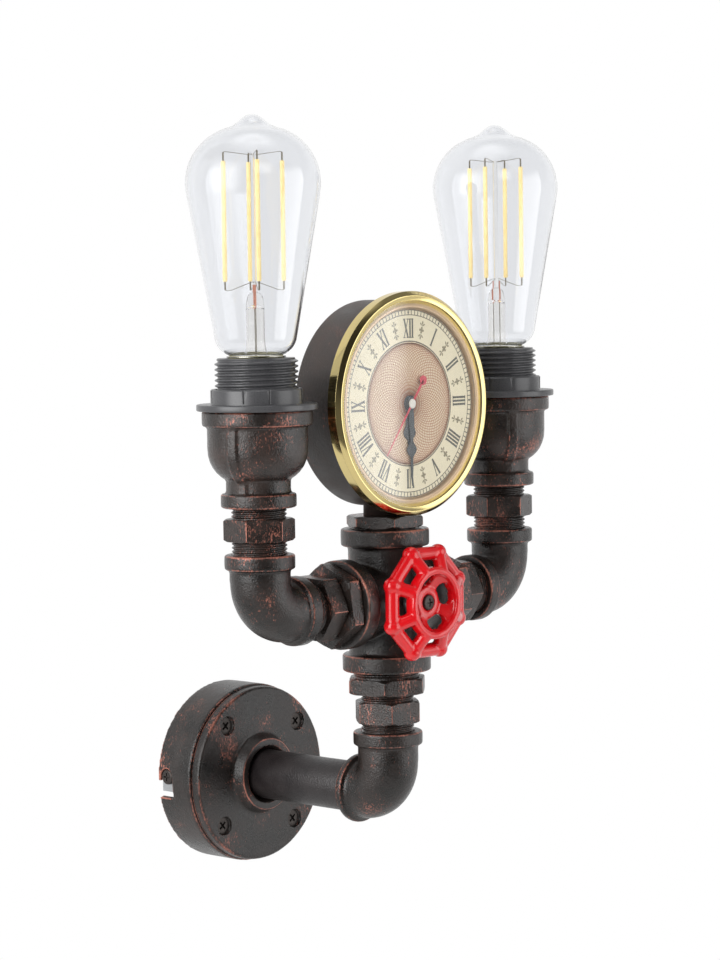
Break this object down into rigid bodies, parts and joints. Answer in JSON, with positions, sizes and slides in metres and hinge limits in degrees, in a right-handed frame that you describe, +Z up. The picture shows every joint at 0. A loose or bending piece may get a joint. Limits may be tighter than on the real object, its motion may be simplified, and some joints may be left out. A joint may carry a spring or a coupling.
{
  "type": "wall light",
  "caption": "Wall light of black iron pipe fittings with upright bare lamps, a round clock between them and a red valve handwheel, on a round wall base.",
  "frame": {"origin": "centre of the base's back on the wall, on the axis of the arm pipe", "axes": "+X to the right for someone facing the light, +Y into the wall, +Z up"},
  "size_m": [0.2396, 0.1534, 0.3794],
  "materials": {
    "antique_iron": "black-brown antique lacquer with copper rub-through",
    "antique_pipe": "black-brown lacquer, satin",
    "antique_drum": "black-brown lacquer, satin, with copper flecks",
    "zinc_steel": "zinc plated",
    "black_steel": "black oxide",
    "terminal_nylon": "moulded",
    "case_plastic": "moulded",
    "knob_plastic": "moulded",
    "black_rubber": "moulded",
    "battery_jacket": "plain jacket",
    "dial_card": "printed, matt",
    "gold_ring": "gold metallised",
    "polished_brass": "polished and lacquered",
    "lens_glass": "polished",
    "black_hand": "black paint",
    "red_hand": "red paint",
    "red_enamel": "gloss enamel",
    "holder_plastic": "moulded, fine sheen",
    "nickel_plate": "nickel plated",
    "contact_brass": "plain",
    "lead_sheath": "sheathed lead",
    "clear_glass": "clear, blown",
    "phosphor_coat": "phosphor coated"
  },
  "bodies": {
    "frame": {"base_cup": "antique_iron", "flange_plate": "antique_iron", "lower_elbow": "antique_iron", "lower_nipple": "antique_iron", "lower_bushing": "antique_iron", "cross_fitting": "antique_iron", "top_plug": "antique_iron", "left_bushing": "antique_iron", "left_nipple": "antique_iron", "left_elbow": "antique_iron", "left_riser": "antique_iron", "left_bell": "antique_iron", "right_bushing": "antique_iron", "right_nipple": "antique_iron", "right_elbow": "antique_iron", "right_riser": "antique_iron", "right_bell": "antique_iron", "arm_pipe": "antique_pipe", "clock_drum": "antique_drum", "wall_bracket": "zinc_steel", "drum_bolt": "zinc_steel", "drum_nut": "zinc_steel", "gland_nut": "zinc_steel", "bracket_screws": "black_steel", "flange_screws": "black_steel", "terminal_block": "terminal_nylon", "left_holder": "holder_plastic", "left_holder_ring": "holder_plastic", "left_screw_shell": "nickel_plate", "left_contact": "contact_brass", "left_lead": "lead_sheath", "right_holder": "holder_plastic", "right_holder_ring": "holder_plastic", "right_screw_shell": "nickel_plate", "right_contact": "contact_brass", "right_lead": "lead_sheath"},
    "handwheel": {"spindle": "zinc_steel", "handwheel": "red_enamel", "wheel_screw": "black_steel"},
    "clock_insert": {"clock_case": "case_plastic", "case_gasket": "black_rubber", "movement_box": "case_plastic", "battery": "battery_jacket", "dial_plate": "dial_card", "dial_ring": "gold_ring", "bezel": "polished_brass", "lens": "lens_glass"},
    "left_bulb": {"left_bulb_glass": "clear_glass", "left_bulb_cap": "nickel_plate", "left_bulb_stem": "clear_glass", "left_bulb_sticks": "phosphor_coat"},
    "right_bulb": {"right_bulb_glass": "clear_glass", "right_bulb_cap": "nickel_plate", "right_bulb_stem": "clear_glass", "right_bulb_sticks": "phosphor_coat"},
    "second_hand": {"second_hand": "red_hand"},
    "minute_hand": {"minute_hand": "black_hand", "set_knob": "knob_plastic"},
    "hour_hand": {"hour_hand": "black_hand"}
  },
  "joints": [
    {"name": "handwheel_turn", "type": "hinge", "parent": "frame", "child": "handwheel", "pos_m": [0, -0.139, 0.0967], "axis": [0, 1, 0], "continuous": true},
    {"name": "clock_insert_pull", "type": "slide", "parent": "frame", "child": "clock_insert", "axis": [0, -1, 0], "range_m": [0, 0.04]},
    {"name": "left_bulb_unscrew", "type": "slide", "parent": "frame", "child": "left_bulb", "axis": [0, 0, 1], "range_m": [0, 0.045]},
    {"name": "right_bulb_unscrew", "type": "slide", "parent": "frame", "child": "right_bulb", "axis": [0, 0, 1], "range_m": [0, 0.045]},
    {"name": "second_hand_turn", "type": "hinge", "parent": "clock_insert", "child": "second_hand", "pos_m": [0, -0.136, 0.1941], "axis": [0, 1, 0], "continuous": true},
    {"name": "minute_hand_turn", "type": "hinge", "parent": "clock_insert", "child": "minute_hand", "pos_m": [0, -0.136, 0.1941], "axis": [0, 1, 0], "continuous": true},
    {"name": "hour_hand_turn", "type": "hinge", "parent": "clock_insert", "child": "hour_hand", "pos_m": [0, -0.136, 0.1941], "axis": [0, 1, 0], "continuous": true}
  ],
  "couplings": [
    {"joint": "minute_hand_turn", "follows": "second_hand_turn", "ratio": 0.016667},
    {"joint": "hour_hand_turn", "follows": "second_hand_turn", "ratio": 0.0013889}
  ]
}
